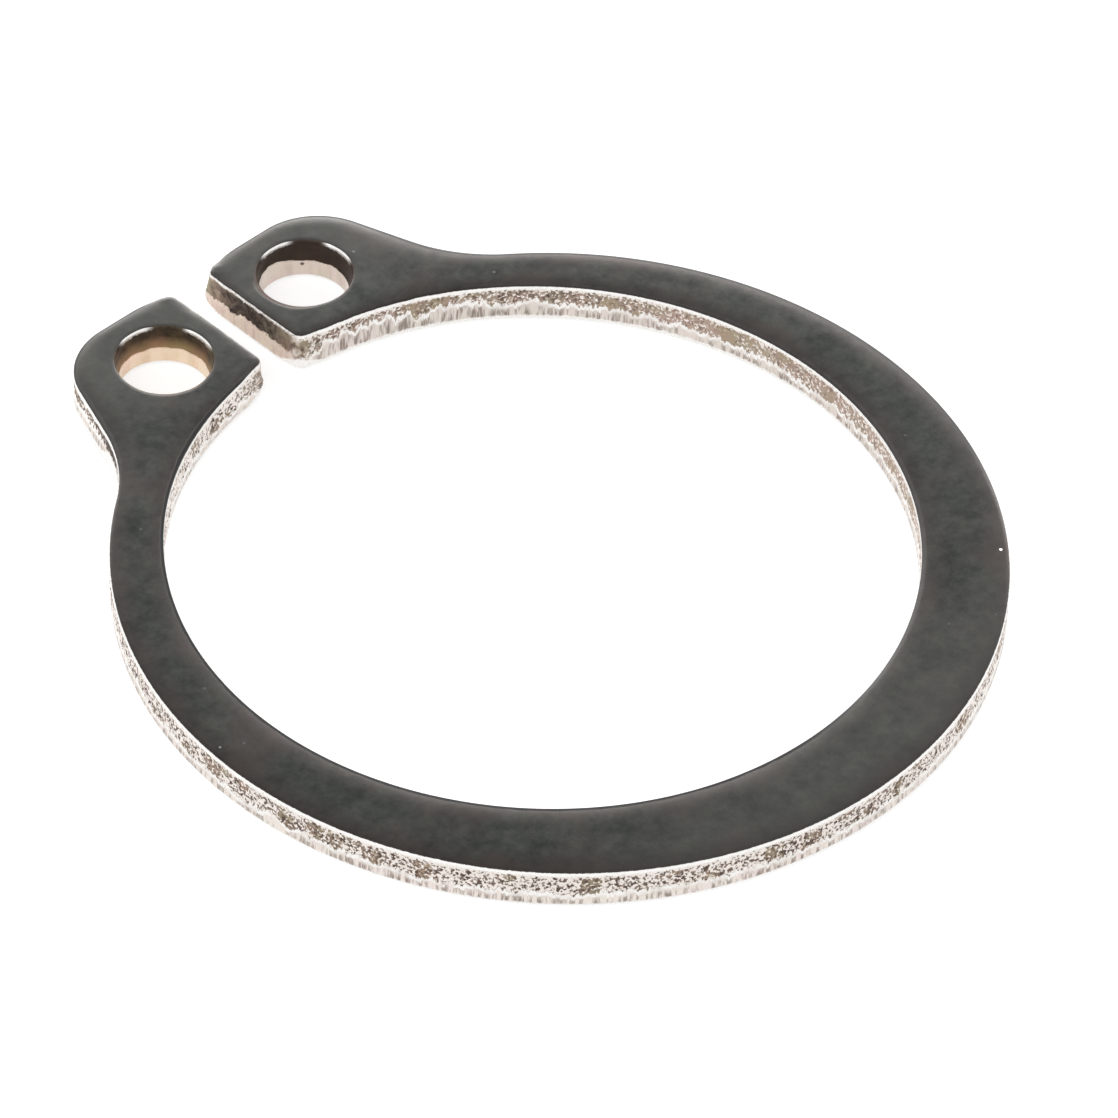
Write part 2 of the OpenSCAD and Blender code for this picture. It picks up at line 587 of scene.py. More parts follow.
def noise(tree, vector, scale, detail=2.0, rough=0.5, warp=0.0):
    """Noise from 0 to 1, with scale in cycles per unit of the vector."""
    inputs = {"Vector": vector, "Scale": scale, "Detail": detail, "Roughness": rough, "Distortion": warp}
    return add(tree, "ShaderNodeTexNoise", inputs).outputs[0]


def cells(tree, vector, scale):
    """Distance from the middles of scattered cells, with scale in cells per unit of the vector."""
    return add(tree, "ShaderNodeTexVoronoi", {"Vector": vector, "Scale": scale}).outputs[0]


def blend(tree, share, first, second, kind="MIX"):
    """A colour between two others; where kind is MULTIPLY, the first goes over into their product."""
    inputs = {0: share, 6: first, 7: second}
    return add(tree, "ShaderNodeMix", inputs, data_type="RGBA", blend_type=kind).outputs[2]


def new_tree(name, kind, inputs, outputs):
    """A node group with named sockets: inputs are (name, socket type, value or None)."""
    tree = bpy.data.node_groups.new(name, kind)
    for label, socket_type, value in inputs:
        socket = tree.interface.new_socket(label, in_out="INPUT", socket_type=socket_type)
        if value is not None:
            socket.default_value = value
    for label, socket_type in outputs:
        tree.interface.new_socket(label, in_out="OUTPUT", socket_type=socket_type)
    return tree, tree.nodes.new("NodeGroupInput"), tree.nodes.new("NodeGroupOutput")


NUMBER = "NodeSocketFloat"
COLOUR = "NodeSocketColor"


# The sweep


# Top and fall of the ragged line's scallops, and depth and height of the teeth between them
MOUND_TOP = 0.5
MOUND_FALL = 3.4
TEETH_DEPTH = -0.04
TEETH_HEIGHT = 4.5
# Height over which a wall turns from wiped to torn
TORN_STEP = 0.04
# The relief's streaks are drawn out upwards
RELIEF_UPRIGHT = (1, 1, 0.1)
# An edge at the wall's open border has fewer faces than this
BORDER_FACES = 1.5
# Rows or parts whose numbers are less than this apart are the same
NUMBER_SPARE = 0.25

SWEEP_SIZES = {
    "Scallops": 2.6,
    "Teeth": 4.2,
    "Pits": 6.0,
    "Pit Depth": 0.045,
    "Streaks": 6.0,
    "Streak Depth": 0.014,
}


def shape(tree, kind, inputs=None, **options):
    """A geometry node's first output."""
    return add(tree, "GeometryNode"+kind, inputs, **options).outputs[0]


def named(tree, name, kind="FLOAT"):
    """A named attribute in a geometry tree."""
    return shape(tree, "InputNamedAttribute", {"Name": name}, data_type=kind)


def named_vector(tree, name):
    return named(tree, name, "FLOAT_VECTOR")


def added_up(tree, shares, sizes):
    """Named shares of named sizes, added up."""
    pair = (named_vector(tree, shares), named_vector(tree, sizes))
    return vector_math(tree, "DOT_PRODUCT", *pair)["Value"]


def stored(tree, geometry, name, value, domain):
    """A geometry with a number noted on each of its points or faces."""
    keep = {"Geometry": geometry, "Name": name, "Value": value}
    return shape(tree, "StoreNamedAttribute", keep, data_type="FLOAT", domain=domain)


def parted(tree, geometry, part):
    """Notes on each face the number of its part."""
    return stored(tree, geometry, "part", part, "FACE")


def ragged_lift(tree, place, given):
    """Height above the ragged line, whose scallops have round tops and sharp valleys."""
    plan = scaled(tree, place, (1, 1, 0))
    cell = cells(tree, plan, given["Scallops"])
    mound = minus(tree, MOUND_TOP, times(tree, times(tree, cell, cell), MOUND_FALL))
    teeth = minus(tree, noise(tree, plan, given["Teeth"], rough=0.6), 0.5)
    peaks = times(tree, calc(tree, "MAXIMUM", teeth, TEETH_DEPTH), TEETH_HEIGHT)
    wave = times(tree, plus(tree, mound, peaks), named(tree, "scallop"))
    line = plus(tree, named(tree, "line"), wave)
    return minus(tree, part_of(tree, place, "Z"), line)


def wall_hollow(tree, place, lift, given):
    """How far a wall lies behind the punch line: torn metal leans and is pitted, the rest is streaked."""
    torn = ease(tree, lift, 0.0, TORN_STEP)
    lean = times(tree, calc(tree, "MAXIMUM", lift, 0.0), named(tree, "lean"))
    pits = noise(tree, place, given["Pits"], rough=0.6, warp=0.3)
    pitted = times(tree, pits, given["Pit Depth"])
    streaks = noise(tree, scaled(tree, place, RELIEF_UPRIGHT), given["Streaks"], detail=1.0)
    streaked = times(tree, streaks, given["Streak Depth"])
    rough = plus(tree, streaked, times(tree, torn, minus(tree, pitted, streaked)))
    return plus(tree, lean, times(tree, rough, named(tree, "skin")))


def bare_sweep(tree, given):
    """The swept edge profile, before its points find their places."""
    loops = shape(tree, "MeshToCurve", {0: given["Outline"]})
    source = add(tree, "GeometryNodeObjectInfo", {"Object": given["Profile"]})
    profile = shape(tree, "MeshToCurve", {0: source.outputs["Geometry"]})
    wall = shape(tree, "CurveToMesh", {"Curve": loops, "Profile Curve": profile})
    return shape(tree, "FlipFaces", {0: wall})


def plain_place(tree):
    """A point's place on an upright, smooth wall, in millimetres."""
    height = plus(tree, added_up(tree, "rise", "tall"), times(tree, named(tree, "lip"), RIM_H))
    foot = scaled(tree, named_vector(tree, "foot"), (1/MM, 1/MM, 0))
    up = add(tree, "ShaderNodeCombineXYZ", {2: height}).outputs[0]
    return vector_math(tree, "ADD", foot, up)[0]


def swept_wall(tree, given):
    """The edge profile, swept round each loop, with the walls' relief worked into it."""
    wall = bare_sweep(tree, given)
    place = plain_place(tree)
    lift = ragged_lift(tree, place, given)
    inset = plus(tree, added_up(tree, "reach", "spread"), HAIR)
    back = plus(tree, inset, wall_hollow(tree, place, lift, given))
    move = {0: named_vector(tree, "out"), "Scale": back}
    inward = add(tree, "ShaderNodeVectorMath", move, operation="SCALE").outputs[0]
    final = vector_math(tree, "SUBTRACT", place, inward)[0]
    wall = stored(tree, wall, "lift", lift, "POINT")
    moved = {"Geometry": wall, "Position": scaled(tree, final, (MM, MM, MM))}
    return shape(tree, "SetPosition", moved)


def cap(tree, wall, top):
    """The flat face inside the wall's upper or lower border."""
    border = calc(tree, "LESS_THAN", shape(tree, "InputMeshEdgeNeighbors"), BORDER_FACES)
    height = part_of(tree, shape(tree, "InputPosition"), "Z")
    half = calc(tree, "GREATER_THAN" if top else "LESS_THAN", height, THICK*MM/2)
    inputs = {"Mesh": wall, "Selection": times(tree, border, half)}
    rim = shape(tree, "MeshToCurve", inputs)
    face = shape(tree, "FillCurve", {0: rim})
    face = parted(tree, face, FACE_PART)
    if top:
        lift = {"Geometry": face, "Translation": (0, 0, THICK*MM)}
        return shape(tree, "Transform", lift)
    return shape(tree, "FlipFaces", {0: face})


def wall_parts(tree):
    """The part of a swept face: its zone's, or the flat face past the rim and under the roll."""
    row = named(tree, "row")
    above = calc(tree, "GREATER_THAN", row, ROLL_ROWS+WALL_ROWS+RIM_ROWS+NUMBER_SPARE)
    flat = calc(tree, "MAXIMUM", above, calc(tree, "LESS_THAN", row, NUMBER_SPARE))
    zone = times(tree, named(tree, "finish"), rest(tree, flat))
    return plus(tree, zone, times(tree, flat, FACE_PART))


def painted(tree, ring, finishes):
    """Gives all faces the edge wall's finish, and then the other parts theirs."""
    for index, name in enumerate(PARTS):
        inputs = {"Geometry": ring, "Material": finishes[name]}
        if index:
            inputs["Selection"] = calc(tree, "COMPARE", named(tree, "part"), float(index), NUMBER_SPARE)
        ring = shape(tree, "SetMaterial", inputs)
    return ring


def sweep_tree(finishes):
    """Geometry nodes that turn the outline into the whole ring."""
    inputs = [("Outline", "NodeSocketGeometry", None), ("Profile", "NodeSocketObject", None)]
    inputs += [(name, NUMBER, value) for name, value in SWEEP_SIZES.items()]
    outputs = [("Ring", "NodeSocketGeometry")]
    tree, group_in, group_out = new_tree("StampedRing", "GeometryNodeTree", inputs, outputs)
    given = {socket.name: socket for socket in group_in.outputs if socket.name}
    wall = swept_wall(tree, given)
    whole = tree.nodes.new("GeometryNodeJoinGeometry")
    caps = [cap(tree, wall, top) for top in (True, False)]
    for piece in [parted(tree, wall, wall_parts(tree))]+caps:
        tree.links.new(piece, whole.inputs[0])
    weld = {"Geometry": whole.outputs[0], "Distance": WELD*MM}
    closed = shape(tree, "MergeByDistance", weld)
    rounded = shape(tree, "SetShadeSmooth", {"Geometry": closed})
    real = shape(tree, "RealizeInstances", {0: rounded})
    tree.links.new(painted(tree, real, finishes), group_out.inputs[0])
    return tree


# Finishes: what both share


def colour(red, green, blue):
    """A linear colour from its 0 to 255 display values."""
    parts = [v/255 for v in (red, green, blue)]
    return (*[v/12.92 if v <= 0.04045 else ((v+0.055)/1.055)**2.4 for v in parts], 1)


WHITE = (1, 1, 1, 1)
FINISH_OUTPUTS = [("Color", COLOUR), ("Metallic", NUMBER), ("Roughness", NUMBER), ("Height", NUMBER)]


def place_mm(tree):
    """The piece's own coordinates, in millimetres."""
    own = add(tree, "ShaderNodeTexCoord").outputs["Object"]
    return scaled(tree, own, (1/MM, 1/MM, 1/MM))


def attribute(tree, name):
    return add(tree, "ShaderNodeAttribute", attribute_name=name).outputs["Fac"]


def put_out(tree, group_out, values):
    """Feeds a group's outputs."""
    for name, value in values.items():
        tree.links.new(value, group_out.inputs[name])


# The finish of a punched wall


CUT_INPUTS = [
    # Rim, seam and roll, with the rim and seam painted as bright as highlights, and what is left of the
    # coat
    ("Bright", COLOUR, colour(252, 250, 247)),
    ("Coat", COLOUR, colour(36, 35, 33)),
    # Torn part: flakes, lightest and darkest metal, and clumps
    ("Flake", COLOUR, colour(248, 241, 235)),
    ("Torn Light", COLOUR, colour(186, 171, 160)),
    ("Torn Dark", COLOUR, colour(90, 74, 67)),
    ("Clump", COLOUR, colour(172, 158, 134)),
    ("Clump Strength", NUMBER, 0.7),
    # Torn part: scale of its grain, how much mottle and grain change its tone, and its fade
    ("Grain", NUMBER, 12.5),
    ("Mottle", NUMBER, 1.1),
    ("Contrast", NUMBER, 2.3),
    ("Fade", NUMBER, 0.0),
    # Strength of the warm and greenish casts
    ("Tint", NUMBER, 0.5),
    # Wiped part: its metal, and streaks in a millimetre
    ("Wiped Light", COLOUR, colour(242, 235, 230)),
    ("Wiped Dark", COLOUR, colour(150, 138, 130)),
    ("Streaks", NUMBER, 11.5),
    # The seam under the line, painted bright as a highlight, and how ragged and spiky the line is
    ("Seam", NUMBER, 0.072),
    ("Seam Strength", NUMBER, 1.0),
    ("Raggedness", NUMBER, 0.14),
    ("Spikes", NUMBER, 0.4),
    ("Metal", NUMBER, 0.7),
]

# The streaks are drawn out upwards
UPRIGHT = (1, 1, 0.12)
# Scale of the waver that breaks up each border, and how much it shifts the rim's and the coat's
WAVER_SCALE = 11.0
RIM_WAVER = 0.10
COAT_WAVER = 0.2
# Clumps in a millimetre, their wobble, and the distances from a clump's middle at its border
CLUMP_SCALE = 1.15
CLUMP_WOBBLE = 0.5
CLUMP_BORDER = (0.42, 0.26)
# A clump hangs below the line, has fewer flakes, is lighter, and has its own colour
CLUMP_HANGS = 0.06
CLUMP_FLAKES = 0.38
CLUMP_LIGHTER = 0.3
CLUMP_COLOUR = 0.75
# Heights between which flakes get more towards the rim, and how many more
NEAR_RIM = (0.92, 1.08)
NEAR_RIM_FLAKES = 0.4
# Grain from which metal is a flake, how far whiteness lowers that, and the flake's border
FLAKE_GRAIN = 0.70
FLAKE_SPREAD = 0.42
FLAKE_BORDER = (-0.08, 0.05)
# Whiteness over which the flakes come in at all
FLAKE_START = (0.02, 0.12)
# Torn part: scale and levels of the broad mottle, middle of the grain, and height over which it fades
MOTTLE_SCALE = 5.5
MOTTLE_LEVELS = (0.3, 0.7)
GRAIN_MIDDLE = 0.46
FADE_HEIGHT = 0.35
# Wiped part: levels of its bars, how much grey softens them, and how they fade out towards the line
BAR_LEVELS = (0.38, 0.56)
GREY_SOFTENS = 0.3
BAR_FADE = (-0.28, -0.05)
BAR_FADE_MOST = 0.5
# The two casts, how far apart their patches are, and the wiped part's share of them
WARM_CAST = colour(255, 228, 224)
GREENISH_CAST = colour(243, 243, 220)
CAST_SCALE = 1.6
CAST_LEVELS = (0.35, 0.65)
WIPED_CAST = 0.4
# Borders: of the torn part, seam, rim, roll and coat
TORN_BORDER = (-0.015, 0.015)
SEAM_BORDER = (1.1, 0.5)
RIM_BORDER = (-0.03, 0.03)
ROLL_BORDER = (0.04, -0.04)
COAT_BORDER = (-0.06, 0.06)
# The seam's painted highlight is weaker in some patches
PATCH_SCALE = 2.2
PATCH_LEVELS = (0.35, 0.55)
SEAM_LEAST = 0.45
# Roughness of wiped metal, what torn metal and coat add to it, and the streaks' share of the bump
WALL_ROUGH = 0.27
TORN_ROUGHER = 0.3
COAT_ROUGHER = 0.35
STREAK_BUMP = 0.4


def clump_mask(tree, place, given):
    """Rounded clumps, about a millimetre apart, where the torn metal is dull and hangs lower."""
    wobble = times(tree, minus(tree, noise(tree, place, 6.0, detail=1.0), 0.5), CLUMP_WOBBLE)
    clump = ease(tree, plus(tree, cells(tree, place, CLUMP_SCALE), wobble), *CLUMP_BORDER)
    return times(tree, clump, given["Clump Strength"])


def cast_over(tree, shade, cast):
    """A shade multiplied by a faint colour cast."""
    return blend(tree, 1.0, shade, cast, "MULTIPLY")


def casts(tree, place, given):
    """The colour casts of the torn and of the wiped part."""
    tint = ease(tree, noise(tree, place, CAST_SCALE), *CAST_LEVELS, "LINEAR")
    cast = blend(tree, tint, WARM_CAST, GREENISH_CAST)
    strong = blend(tree, given["Tint"], WHITE, cast)
    faint = blend(tree, times(tree, given["Tint"], WIPED_CAST), WHITE, cast)
    return strong, faint


def flake_share(tree, grain, height, clump):
    """White flakes in the torn part: more towards the rim, and fewer in a clump."""
    white = attribute(tree, "white")
    near_rim = times(tree, ease(tree, height, *NEAR_RIM), NEAR_RIM_FLAKES)
    level = plus(tree, minus(tree, white, times(tree, clump, CLUMP_FLAKES)), near_rim)
    limit = minus(tree, FLAKE_GRAIN, times(tree, level, FLAKE_SPREAD))
    flake = ease(tree, minus(tree, grain, limit), *FLAKE_BORDER)
    return times(tree, flake, ease(tree, white, *FLAKE_START))


def torn_colour(tree, place, lift, clump, given):
    """Colour of the torn part without its flakes, and its grain."""
    grain = noise(tree, place, given["Grain"], detail=1.5, warp=0.5)
    mottle = noise(tree, place, MOTTLE_SCALE, detail=3.0, rough=0.7)
    mottle = minus(tree, ease(tree, mottle, *MOTTLE_LEVELS, "LINEAR"), 0.5)
    mottle = times(tree, mottle, given["Mottle"])
    core = times(tree, minus(tree, grain, GRAIN_MIDDLE), given["Contrast"])
    fade = times(tree, ease(tree, lift, FADE_HEIGHT, 0.0, "LINEAR"), given["Fade"])
    lighter = plus(tree, attribute(tree, "tone"), times(tree, clump, CLUMP_LIGHTER))
    share = plus(tree, plus(tree, lighter, mottle), plus(tree, core, fade), clamp=True)
    full = blend(tree, times(tree, clump, CLUMP_COLOUR), given["Torn Light"], given["Clump"])
    return blend(tree, share, given["Torn Dark"], full), grain


def wiped_colour(tree, streak, lift, given):
    """Colour of the wiped part: soft upright bars that fade out towards the line."""
    bar = ease(tree, streak, *BAR_LEVELS, "LINEAR")
    bar = times(tree, bar, rest(tree, times(tree, attribute(tree, "grey"), GREY_SOFTENS)))
    soft = times(tree, ease(tree, lift, *BAR_FADE), BAR_FADE_MOST)
    shade = blend(tree, bar, given["Wiped Dark"], given["Wiped Light"])
    return blend(tree, soft, shade, given["Wiped Light"])


def finer_lift(tree, ragged, streak, clump, given):
    """Height above the ragged line, with its finer raggedness, upright spikes and hanging clumps."""
    spikes = times(tree, minus(tree, 0.5, streak), given["Spikes"])
    lift = plus(tree, plus(tree, attribute(tree, "lift"), ragged), spikes)
    return plus(tree, lift, times(tree, clump, CLUMP_HANGS))


def seam_highlight_share(tree, place, lift, given):
    """The seam just under the line, painted bright as a highlight, stronger in some patches than in
    others.
    """
    off = calc(tree, "ABSOLUTE", plus(tree, lift, given["Seam"]))
    seam = ease(tree, calc(tree, "DIVIDE", off, given["Seam"]), *SEAM_BORDER)
    patchy = ease(tree, noise(tree, place, PATCH_SCALE), *PATCH_LEVELS)
    seam = times(tree, seam, plus(tree, SEAM_LEAST, times(tree, patchy, 1-SEAM_LEAST)))
    return times(tree, seam, given["Seam Strength"])


def rim_share(tree, height, waver):
    """The bright rim: bare metal painted as bright as a highlight, and on the plier holes only the
    painted highlight arcs.
    """
    above = plus(tree, minus(tree, height, attribute(tree, "rim")), times(tree, waver, RIM_WAVER))
    return times(tree, ease(tree, above, *RIM_BORDER), attribute(tree, "bare_and_highlight"))


def roll_share(tree, height, ragged):
    """The bright roll."""
    return ease(tree, minus(tree, plus(tree, height, ragged), attribute(tree, "low")), *ROLL_BORDER)


def coat_share(tree, waver):
    """The coat on the bevel, from where it is no longer worn off; it reaches further on edges turned away
    from the view, as painted shade.
    """
    lip = plus(tree, attribute(tree, "lip"), times(tree, waver, COAT_WAVER))
    return ease(tree, minus(tree, lip, attribute(tree, "wear_and_shade")), *COAT_BORDER)


def cut_wall_group():
    """A punched wall: bright rim with painted highlight, torn part, ragged seam with painted highlight,
    wiped and streaked part, bright roll.
    """
    tree, group_in, group_out = new_tree("CutWall", "ShaderNodeTree", CUT_INPUTS, FINISH_OUTPUTS)
    given = group_in.outputs
    place = place_mm(tree)
    height = part_of(tree, place, "Z")
    waver = minus(tree, noise(tree, place, WAVER_SCALE), 0.5)
    ragged = times(tree, waver, given["Raggedness"])
    streak = noise(tree, scaled(tree, place, UPRIGHT), given["Streaks"], rough=0.6)
    clump = clump_mask(tree, place, given)
    lift = finer_lift(tree, ragged, streak, clump, given)
    strong, faint = casts(tree, place, given)
    metal, grain = torn_colour(tree, place, lift, clump, given)
    flake = flake_share(tree, grain, height, clump)
    torn_shade = blend(tree, flake, cast_over(tree, metal, strong), given["Flake"])
    wiped_shade = cast_over(tree, wiped_colour(tree, streak, lift, given), faint)
    torn = ease(tree, lift, *TORN_BORDER)
    rim = rim_share(tree, height, waver)
    coat = coat_share(tree, waver)
    shade = blend(tree, torn, wiped_shade, torn_shade)
    for share in (seam_highlight_share(tree, place, lift, given), roll_share(tree, height, ragged), rim):
        shade = blend(tree, share, shade, given["Bright"])
    dull = times(tree, torn, rest(tree, rim))
    rough = plus(tree, WALL_ROUGH, times(tree, dull, TORN_ROUGHER))
    streaks = times(tree, streak, STREAK_BUMP)
    put_out(tree, group_out, {
        "Color": blend(tree, coat, shade, given["Coat"]),
        "Metallic": times(tree, rest(tree, coat), given["Metal"]),
        "Roughness": plus(tree, rough, times(tree, coat, COAT_ROUGHER)),
        "Height": plus(tree, times(tree, torn, minus(tree, grain, streaks)), streaks),
    })
    return tree


# The finish of the coated face


FACE_INPUTS = [
    # The clouds' two shades, the warm cast, the paler ends of painted sheen and the dark line of painted
    # shade along the edges
    ("Dark", COLOUR, colour(30, 33, 31)),
    ("Light", COLOUR, colour(55, 56, 52)),
    ("Warm", COLOUR, colour(60, 52, 50)),
    ("Painted Sheen", COLOUR, colour(76, 75, 72)),
    ("Line", COLOUR, colour(24, 22, 21)),
    ("Clouds", NUMBER, 0.75),
    ("Metal", NUMBER, 0.85),
]

# Scale of the finer clouds, the broad clouds' share, and the levels between which the shade changes
FINE_CLOUDS = 2.6
BROAD_SHARE = 0.32
CLOUD_LEVELS = (0.38, 0.62)
# The warm cast: scale, levels and strength of its patches, and its strength at the edges
WARM_SCALE = 0.55
WARM_LEVELS = (0.48, 0.72)
WARM_PATCHES = 0.45
WARM_EDGE = 0.5
# Where painted sheen turns the face paler, along Y, and how much: opposite the gap, and on the lugs
PAINTED_SHEEN_BANDS = [((-7.5, -10.5), 0.35), ((8.8, 11.5), 0.4)]
# The dark line of painted shade: its waver, its border on the shoulder, and how worn a rim has none
EDGE_SHADE_WAVER = 0.12
EDGE_SHADE_BORDER = (0.88, 0.98)
EDGE_SHADE_WORN = (0.92, 0.66)
# Roughness of the coat, and what clouds and the painted dark line add to it
FACE_ROUGH = 0.24
CLOUD_ROUGHER = 0.12
EDGE_SHADE_ROUGHER = 0.6


def painted_edge_shade_share(tree, edge, waver):
    """The dark line of painted shade along an edge whose rim has kept its coat."""
    line = ease(tree, plus(tree, edge, times(tree, waver, EDGE_SHADE_WAVER)), *EDGE_SHADE_BORDER)
    return times(tree, line, ease(tree, attribute(tree, "wear_and_shade"), *EDGE_SHADE_WORN))


def painted_sheen_share(tree, place):
    """How much paler painted sheen makes the face, opposite the gap and on the lugs."""
    along = part_of(tree, place, "Y")
    first, second = [times(tree, ease(tree, along, *ends), most) for ends, most in PAINTED_SHEEN_BANDS]
    return plus(tree, first, second)


def warm_share(tree, place, edge):
    """The brownish cast, in patches and along the edges."""
    patches = noise(tree, scaled(tree, place, (1, 1, 2)), WARM_SCALE, detail=3.0)
    patches = times(tree, ease(tree, patches, *WARM_LEVELS), WARM_PATCHES)
    return plus(tree, patches, times(tree, edge, WARM_EDGE), clamp=True)


def coated_face_group():
    """The dark coated face: soft clouds, a brownish cast near the edges, paler ends of painted sheen and
    a dark line of painted shade along the edges.
    """
    tree, group_in, group_out = new_tree("CoatedFace", "ShaderNodeTree", FACE_INPUTS, FINISH_OUTPUTS)
    given = group_in.outputs
    place = place_mm(tree)
    edge = attribute(tree, "edge")
    broad = noise(tree, place, given["Clouds"], detail=6.0, rough=0.62, warp=0.4)
    fine = noise(tree, place, FINE_CLOUDS, detail=5.0, rough=0.75)
    mixed = plus(tree, times(tree, broad, BROAD_SHARE), times(tree, fine, 1-BROAD_SHARE))
    # The dark line of painted shade along the edges
    line = painted_edge_shade_share(tree, edge, fine)
    shade = blend(tree, ease(tree, mixed, *CLOUD_LEVELS, "LINEAR"), given["Dark"], given["Light"])
    shade = blend(tree, warm_share(tree, place, edge), shade, given["Warm"])
    shade = blend(tree, painted_sheen_share(tree, place), shade, given["Painted Sheen"])
    rough = plus(tree, FACE_ROUGH, times(tree, broad, CLOUD_ROUGHER))
    put_out(tree, group_out, {
        "Color": blend(tree, line, shade, given["Line"]),
        "Metallic": times(tree, rest(tree, line), given["Metal"]),
        "Roughness": plus(tree, rough, times(tree, line, EDGE_SHADE_ROUGHER)),
        "Height": mixed,
    })
    return tree


# Materials


# What the dark gap walls and the plier holes change of the punched wall's finish; the gap walls' dark
# colours are painted shade
GAP_SHADED_FINISH = {
    "Torn Light": colour(166, 154, 141),
    "Torn Dark": colour(64, 54, 50),
    "Clump Strength": 0.0,
    "Grain": 4.0,
    "Mottle": 0.5,
    "Contrast": 1.6,
    "Tint": 0.7,
    "Wiped Light": colour(224, 207, 194),
    "Wiped Dark": colour(200, 183, 171),
    "Streaks": 4.0,
    "Seam Strength": 0.1,
    "Raggedness": 0.16,
    "Spikes": 0.1,
}
HOLE_FINISH = {
    "Clump Strength": 0.0,
    "Grain": 3.0,
    "Mottle": 0.15,
    "Contrast": 0.4,
    "Tint": 0.9,
    "Streaks": 3.0,
    "Seam Strength": 0.0,
    "Raggedness": 0.04,
    "Spikes": 0.0,
}
LEFT_HOLE_FINISH = {
    **HOLE_FINISH,
    "Torn Light": colour(168, 148, 118),
    "Torn Dark": colour(50, 44, 36),
    "Fade": 1.0,
    "Wiped Light": colour(250, 230, 210),
    "Wiped Dark": colour(238, 214, 190),
}
RIGHT_HOLE_FINISH = {
    **HOLE_FINISH,
    "Torn Light": colour(96, 82, 74),
    "Torn Dark": colour(60, 50, 46),
    "Fade": 0.1,
    "Wiped Light": colour(230, 218, 210),
    "Wiped Dark": colour(214, 202, 193),
}


def sourced(tree, group, values):
    """A group's node with its own values."""
    source = add(tree, "ShaderNodeGroup", node_tree=group)
    for key, value in values.items():
        source.inputs[key].default_value = value
    return source.outputs


def specked(tree, shade, specks):
    """A shade with small round specks, each with its place, size and tint."""
    place = place_mm(tree)
    for speck, size, tint in specks:
        apart = vector_math(tree, "DISTANCE", place, speck)["Value"]
        shade = blend(tree, ease(tree, apart, size, size*0.5), shade, colour(*tint))
    return shade


def finish(name, group, bump, values=None, gap_shaded=None, specks=None):
    """A material from a shared group; its second set of values, the gap walls' darker finish with painted
    shade, holds where the attribute says so.
    """
    material = bpy.data.materials.new(name)
    material.use_nodes = True
    tree = material.node_tree
    shader = tree.nodes["Principled BSDF"]
    made = sourced(tree, group, values or {})
    shade, rough = made["Color"], made["Roughness"]
    if gap_shaded:
        share = attribute(tree, "gap_shaded")
        other = sourced(tree, group, gap_shaded)
        shade = blend(tree, share, shade, other["Color"])
        rough = add(tree, "ShaderNodeMix", {0: share, 2: rough, 3: other["Roughness"]}).outputs[0]
    if specks:
        shade = specked(tree, shade, specks)
    bumps = add(tree, "ShaderNodeBump", {"Height": made["Height"], "Distance": bump*MM})
    tree.links.new(shade, shader.inputs["Base Color"])
    tree.links.new(rough, shader.inputs["Roughness"])
    tree.links.new(made["Metallic"], shader.inputs["Metallic"])
    tree.links.new(bumps.outputs[0], shader.inputs["Normal"])
    return material


def ring_finishes():
    """The materials of the faces, the edge wall and the holes' walls, with their bumps' heights."""
    cut = cut_wall_group()
    on_face = [((*plan, THICK), size, (level, level, level)) for plan, size, level in FACE_SPECKS]
    return {
        "face": finish("coated_face", coated_face_group(), 0.004, specks=on_face),
        "wall": finish("cut_wall", cut, 0.03, gap_shaded=GAP_SHADED_FINISH),
        "hole_left": finish("cut_hole_left", cut, 0.015, LEFT_HOLE_FINISH),
        "hole_right": finish("cut_hole_right", cut, 0.015, RIGHT_HOLE_FINISH, specks=[HOLE_SPECK]),
    }


# The ring


def new_object(name, data):
    """An object in the scene."""
    made = bpy.data.objects.new(name, data)
    bpy.context.scene.collection.objects.link(made)
    return made


def swept_mesh(source, profile):
    """Runs the sweep on the outline and bakes it to a plain mesh."""
    tree = sweep_tree(ring_finishes())
    modifier = source.modifiers.new("sweep", "NODES")
    modifier.node_group = tree
    items = tree.interface.items_tree
    sockets = {item.name: item.identifier for item in items if item.in_out == "INPUT"}
    modifier[sockets["Profile"]] = profile
    for name, value in SWEEP_SIZES.items():
        modifier[sockets[name]] = value
    bpy.context.view_layer.update()
    swept = source.evaluated_get(bpy.context.evaluated_depsgraph_get())
    mesh = bpy.data.meshes.new_from_object(swept)
    mesh.name = "ring"
    if mesh.materials[0] is None:
        mesh.materials.pop(index=0)
    return mesh


def build_ring():
    """Makes the dressed ring and hands it to the frame in place of the solid."""
    profile = new_object("edge_profile", profile_mesh())
    source = new_object("ring_source", outline_mesh())
    ring = new_object("ring", swept_mesh(source, profile))
    for spent in (source, profile):
        bpy.data.objects.remove(spent)
    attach(ring, "root")
    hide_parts("retaining_ring")


# Stage


FLOOR_HALF = 0.6
FLOOR_DROP = 0.002
FLOOR_TONE = (0.6, 0.6, 0.6, 1)
FLOOR_ROUGH = 0.9


def way_to(azimuth, elevation):
    """The direction of an azimuth and an elevation in degrees."""
    a, e = math.radians(azimuth), math.radians(elevation)
    return Vector((math.sin(a)*math.cos(e), -math.cos(a)*math.cos(e), math.sin(e)))


def view_axes():
    """Right, up and back of the photograph's camera."""
    a, roll = math.radians(CAMERA_AZIMUTH), math.radians(CAMERA_ROLL)
    back = way_to(CAMERA_AZIMUTH, CAMERA_ELEVATION)
    level = Vector((math.cos(a), math.sin(a), 0))
    above = back.cross(level)
    right = level*math.cos(roll)+above*math.sin(roll)
    return right, back.cross(right), back


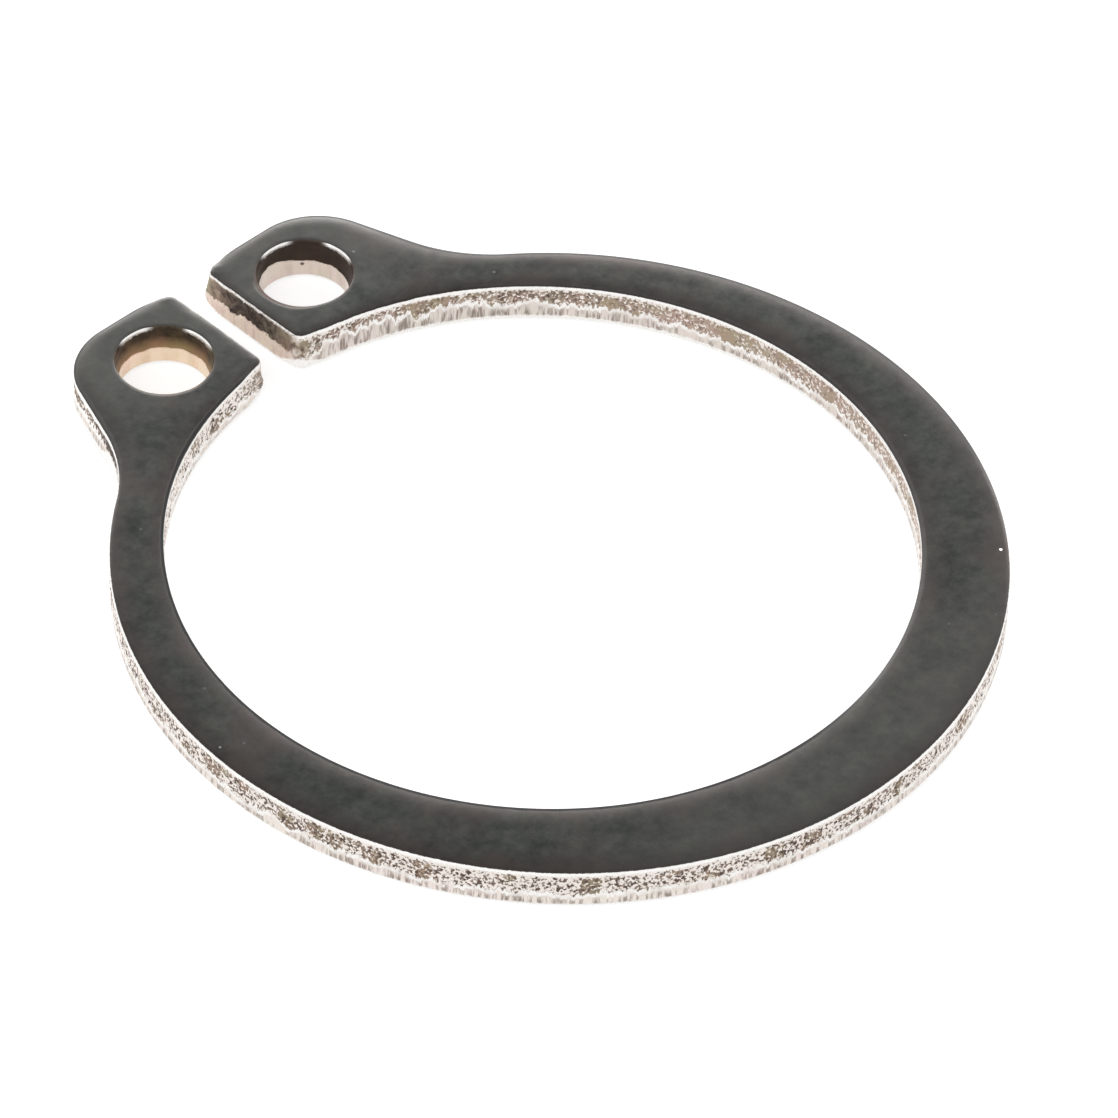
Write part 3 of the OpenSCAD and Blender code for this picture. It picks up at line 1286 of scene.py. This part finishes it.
def make_camera():
    right, up, back = view_axes()
    lens = bpy.data.cameras.new("camera")
    lens.lens = CAMERA_LENS
    lens.clip_start, lens.clip_end = 0.01, 10
    camera = new_object("camera", lens)
    turn = Matrix((right, up, back)).transposed().to_4x4()
    centre = Vector((0, 0, THICK*MM))
    away = CAMERA_DISTANCE*back+CAMERA_RIGHT*right+CAMERA_UP*up
    camera.matrix_world = Matrix.Translation(centre+away*MM) @ turn
    bpy.context.scene.camera = camera


def shown_directly(tree):
    """1 for what the camera, a gloss or a clear body shows, and 0 for other light."""
    path = add(tree, "ShaderNodeLightPath").outputs
    seen = plus(tree, path["Is Camera Ray"], path["Is Glossy Ray"])
    return plus(tree, seen, path["Is Transmission Ray"], clamp=True)


def make_world(level):
    """White where it is seen, and a plain soft light at the given level."""
    world = bpy.data.worlds.new("studio")
    world.use_nodes = True
    tree = world.node_tree
    strength = plus(tree, level, times(tree, shown_directly(tree), 1-level))
    tree.links.new(strength, tree.nodes["Background"].inputs["Strength"])
    tree.nodes["Background"].inputs["Color"].default_value = WHITE
    bpy.context.scene.world = world


def floor_material(glow):
    """A pale matt tone that glows to white where it is seen, and so keeps only a light shadow."""
    material = bpy.data.materials.new("pale_floor")
    material.use_nodes = True
    tree = material.node_tree
    shader = tree.nodes["Principled BSDF"]
    shader.inputs["Base Color"].default_value = FLOOR_TONE
    shader.inputs["Roughness"].default_value = FLOOR_ROUGH
    shader.inputs["Specular IOR Level"].default_value = 0.0
    shader.inputs["Emission Color"].default_value = WHITE
    strength = times(tree, shown_directly(tree), glow)
    tree.links.new(strength, shader.inputs["Emission Strength"])
    return material


def make_floor(glow):
    """A square floor, just under the ring."""
    mesh = bpy.data.meshes.new("floor")
    signs = [(-1, -1), (1, -1), (1, 1), (-1, 1)]
    corners = [(x*FLOOR_HALF, y*FLOOR_HALF, -FLOOR_DROP*MM) for x, y in signs]
    mesh.from_pydata(corners, [], [(0, 1, 2, 3)])
    mesh.materials.append(floor_material(glow))
    new_object("floor", mesh)


def make_lamp(name, azimuth, elevation, distance, size, level):
    """A soft rectangular lamp that faces the ring; level is its own brightness, where 1 is white."""
    way = way_to(azimuth, elevation)
    light = bpy.data.lights.new(name, "AREA")
    light.shape = "RECTANGLE"
    light.size, light.size_y = size
    light.energy = level*math.pi*size[0]*size[1]
    lamp = new_object(name, light)
    turn = way.to_track_quat("Z", "Y").to_matrix().to_4x4()
    lamp.matrix_world = Matrix.Translation(way*distance) @ turn
    lamp.visible_camera = False


build_ring()
make_camera()
make_world(level=0.55)
make_floor(glow=0.60)
make_lamp("key", azimuth=-80, elevation=60, distance=0.5, size=(0.35, 0.35), level=2.0)
make_lamp("far_strip", azimuth=134, elevation=20, distance=0.6, size=(0.8, 0.24), level=8.5)
bpy.context.scene.view_settings.view_transform = "Standard"
